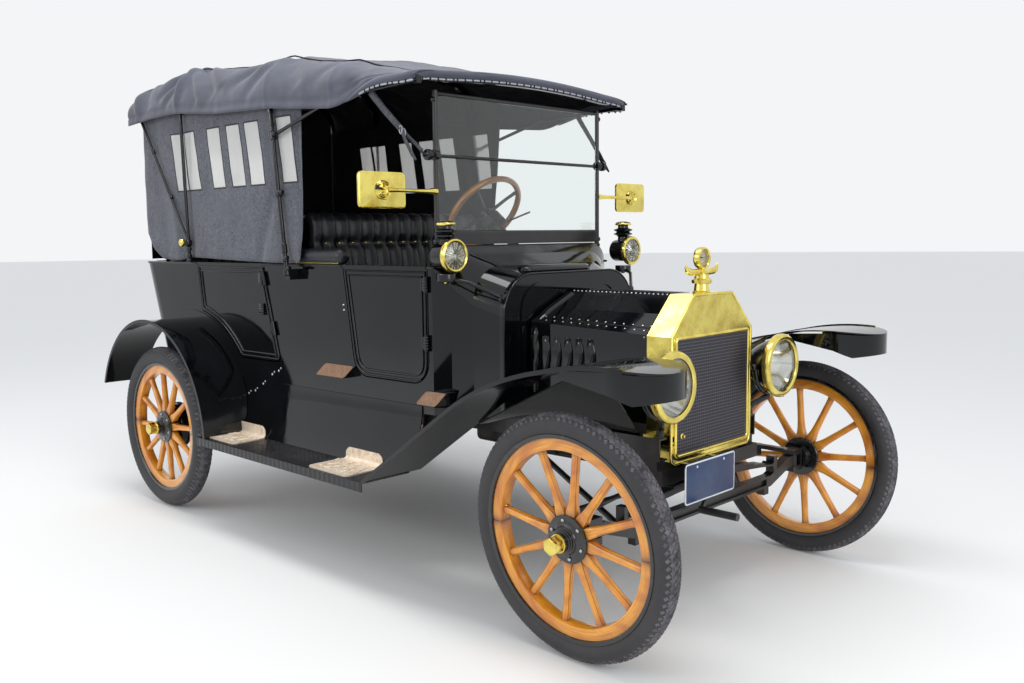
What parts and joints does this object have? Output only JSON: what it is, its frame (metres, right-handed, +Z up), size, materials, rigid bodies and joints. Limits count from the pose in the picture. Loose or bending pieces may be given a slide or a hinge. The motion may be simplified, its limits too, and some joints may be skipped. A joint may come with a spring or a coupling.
{
  "type": "antique open touring car",
  "caption": "Antique open touring car with a folding fabric top, side curtains, wooden spoked wheels, steering front wheels, opening doors and a side-opening louvred hood.",
  "frame": {"origin": "on the ground at the middle of the car's length and width", "axes": "+X forward, +Y to the car's left, +Z up"},
  "size_m": [3.4269, 1.6204, 2.0998],
  "materials": {
    "frame_paint": "satin",
    "body_paint": "gloss",
    "iron_paint": "satin",
    "engine_iron": "rough",
    "exhaust_steel": "matte",
    "radiator_brass": "polished",
    "fitting_brass": "polished",
    "core_black": "matte",
    "tyre": "matte",
    "wheel_wood": "varnished",
    "rim_wood": "varnished",
    "hub_paint": "gloss",
    "seat_leather": "satin",
    "screen_glass": "clear",
    "top_fabric": "matte",
    "plate_paint": "satin"
  },
  "bodies": {
    "chassis": {"frame": "frame_paint", "front_axle": "frame_paint", "rear_axle": "frame_paint", "leaf_springs": "frame_paint", "steering_column": "body_paint", "engine": "engine_iron", "exhaust": "exhaust_steel", "radiator_shell": "radiator_brass", "radiator_core": "core_black", "radiator_cap": "radiator_brass", "firewall": "body_paint", "cowl": "body_paint", "body_floor": "body_paint", "body_front": "body_paint", "body_rear": "body_paint", "seat_frames": "body_paint", "seat_cushions": "seat_leather", "front_backrest": "seat_leather", "rear_backrest": "seat_leather", "windscreen_frame": "body_paint", "windscreen_glass": "screen_glass", "top_canopy": "top_fabric", "curtains": "top_fabric", "top_frame": "iron_paint", "front_fenders": "body_paint", "rear_fenders": "body_paint", "running_boards": "body_paint", "splash_aprons": "body_paint", "headlamps": "body_paint", "side_lamps": "body_paint", "mirrors": "fitting_brass", "number_plate": "plate_paint", "crank_handle": "frame_paint"},
    "knuckle_right_body": {"knuckle_right": "frame_paint"},
    "knuckle_left_body": {"knuckle_left": "frame_paint"},
    "track_rod_body": {"tie_rod": "frame_paint", "drag_link": "frame_paint"},
    "steering_shaft_body": {"steering_shaft": "frame_paint"},
    "steering_wheel_body": {"steering_wheel": "rim_wood"},
    "front_right_door": {"door_front_right": "body_paint"},
    "rear_right_door": {"door_rear_right": "body_paint"},
    "rear_left_door": {"door_rear_left": "body_paint"},
    "hood_right_body": {"hood_right": "body_paint"},
    "hood_left_body": {"hood_left": "body_paint"},
    "front_right_wheel": {"tyre_front_right": "tyre", "wheel_front_right": "wheel_wood", "hub_front_right": "hub_paint"},
    "front_left_wheel": {"tyre_front_left": "tyre", "wheel_front_left": "wheel_wood", "hub_front_left": "hub_paint"},
    "rear_right_wheel": {"tyre_rear_right": "tyre", "wheel_rear_right": "wheel_wood", "hub_rear_right": "hub_paint"},
    "rear_left_wheel": {"tyre_rear_left": "tyre", "wheel_rear_left": "wheel_wood", "hub_rear_left": "hub_paint"}
  },
  "joints": [
    {"name": "rear_right_wheel_spin", "type": "hinge", "parent": "chassis", "child": "rear_right_wheel", "pos_m": [-1.2045, -0.711, 0.381], "axis": [0, 1, 0], "continuous": true},
    {"name": "rear_left_wheel_spin", "type": "hinge", "parent": "chassis", "child": "rear_left_wheel", "pos_m": [-1.2045, 0.711, 0.381], "axis": [0, 1, 0], "continuous": true},
    {"name": "steer_right", "type": "hinge", "parent": "chassis", "child": "knuckle_right_body", "pos_m": [1.3355, -0.619, 0.38016], "axis": [0, 0, 1], "range_deg": [-30, 30]},
    {"name": "steer_left", "type": "hinge", "parent": "chassis", "child": "knuckle_left_body", "pos_m": [1.3355, 0.619, 0.38016], "axis": [0, 0, 1], "range_deg": [-30, 30]},
    {"name": "front_right_wheel_spin", "type": "hinge", "parent": "knuckle_right_body", "child": "front_right_wheel", "pos_m": [1.3355, -0.711, 0.38016], "axis": [0, 0.9976, 0.0698], "continuous": true},
    {"name": "front_left_wheel_spin", "type": "hinge", "parent": "knuckle_left_body", "child": "front_left_wheel", "pos_m": [1.3355, 0.711, 0.38016], "axis": [0, 0.9976, -0.0698], "continuous": true},
    {"name": "track_rod_pivot", "type": "hinge", "parent": "knuckle_right_body", "child": "track_rod_body", "pos_m": [1.1855, -0.619, 0.38016], "axis": [0, 0, 1], "range_deg": [-30, 30]},
    {"name": "steering_shaft_turn", "type": "hinge", "parent": "chassis", "child": "steering_shaft_body", "pos_m": [0.0455, 0.205, 1.37], "axis": [-0.7912, 0, 0.6115], "range_deg": [-34.5, 34.5]},
    {"name": "steering_wheel_turn", "type": "hinge", "parent": "chassis", "child": "steering_wheel_body", "pos_m": [0.0455, 0.205, 1.37], "axis": [-0.7912, 0, 0.6115], "range_deg": [-138, 138]},
    {"name": "front_right_door_hinge", "type": "hinge", "parent": "chassis", "child": "front_right_door", "pos_m": [0.4665, -0.50928, 0.986], "axis": [0, 0, 1], "range_deg": [0, 75]},
    {"name": "rear_right_door_hinge", "type": "hinge", "parent": "chassis", "child": "rear_right_door", "pos_m": [-0.5004, -0.54893, 0.878], "axis": [-0.2562, -0.0105, 0.9666], "range_deg": [0, 75]},
    {"name": "rear_left_door_hinge", "type": "hinge", "parent": "chassis", "child": "rear_left_door", "pos_m": [-0.5004, 0.54893, 0.878], "axis": [0.2562, -0.0105, -0.9666], "range_deg": [0, 75]},
    {"name": "hood_right_hinge", "type": "hinge", "parent": "chassis", "child": "hood_right_body", "pos_m": [1, 0, 1.064], "axis": [-1, 0, 0], "range_deg": [0, 60]},
    {"name": "hood_left_hinge", "type": "hinge", "parent": "chassis", "child": "hood_left_body", "pos_m": [1, 0, 1.064], "axis": [1, 0, 0], "range_deg": [0, 60]}
  ],
  "couplings": [
    {"joint": "steer_left", "follows": "steer_right", "ratio": 1},
    {"joint": "track_rod_pivot", "follows": "steer_right", "ratio": -1},
    {"joint": "steering_shaft_turn", "follows": "steer_right", "ratio": 1.15},
    {"joint": "steering_wheel_turn", "follows": "steer_right", "ratio": 4.6}
  ]
}
